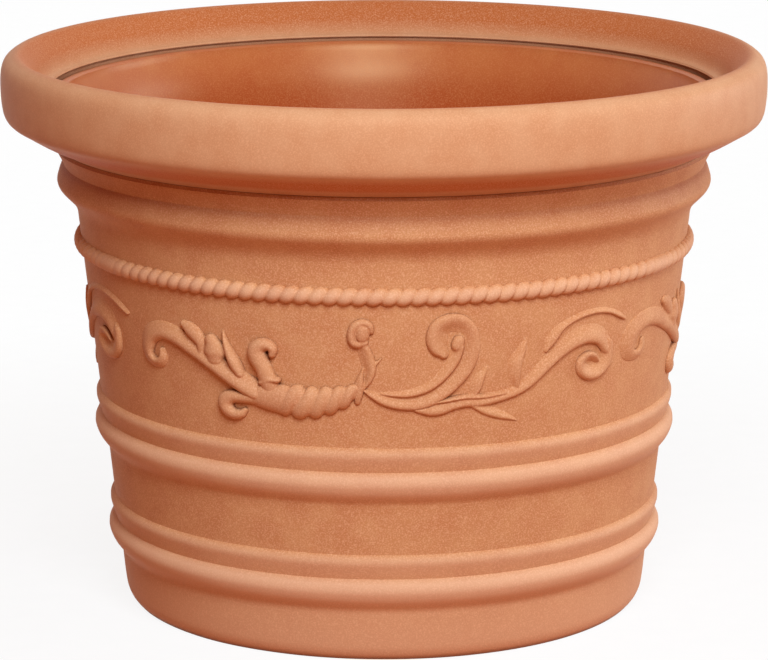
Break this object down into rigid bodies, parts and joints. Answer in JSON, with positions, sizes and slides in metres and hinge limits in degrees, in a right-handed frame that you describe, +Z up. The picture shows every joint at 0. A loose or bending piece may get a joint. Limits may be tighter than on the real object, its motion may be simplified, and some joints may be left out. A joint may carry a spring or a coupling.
{
  "type": "plant pot",
  "caption": "Round festooned plant pot: rolled rim, rope moulding, applied scroll ornament, double bands and a lift-out planting liner.",
  "frame": {"origin": "centre of the foot ring, on the floor", "axes": "+Z up along the pot's axis, -Y towards the front of the festoon, +X to the right as seen from the front"},
  "size_m": [0.649, 0.649, 0.472],
  "materials": {
    "terracotta_resin": "satin with a fine sandy speckle",
    "liner_resin": "smooth satin"
  },
  "bodies": {
    "pot": {"outer_shell": "terracotta_resin", "rolled_rim": "terracotta_resin", "rope_length_1": "terracotta_resin", "rope_length_2": "terracotta_resin", "rope_length_3": "terracotta_resin", "horn_1": "terracotta_resin", "upper_curl_1": "terracotta_resin", "lower_curl_1": "terracotta_resin", "scroll_branch_1": "terracotta_resin", "clasp_bud_1": "terracotta_resin", "spiral_stem_1": "terracotta_resin", "leaf_branch_1": "terracotta_resin", "arch_tendril_1": "terracotta_resin", "horn_2": "terracotta_resin", "upper_curl_2": "terracotta_resin", "lower_curl_2": "terracotta_resin", "scroll_branch_2": "terracotta_resin", "clasp_bud_2": "terracotta_resin", "spiral_stem_2": "terracotta_resin", "leaf_branch_2": "terracotta_resin", "arch_tendril_2": "terracotta_resin", "horn_3": "terracotta_resin", "upper_curl_3": "terracotta_resin", "lower_curl_3": "terracotta_resin", "scroll_branch_3": "terracotta_resin", "clasp_bud_3": "terracotta_resin", "spiral_stem_3": "terracotta_resin", "leaf_branch_3": "terracotta_resin", "arch_tendril_3": "terracotta_resin"},
    "liner": {"inner_liner": "liner_resin"}
  },
  "joints": [
    {"name": "liner_lift", "type": "slide", "parent": "pot", "child": "liner", "axis": [0, 0, 1], "range_m": [0, 0.47]}
  ]
}
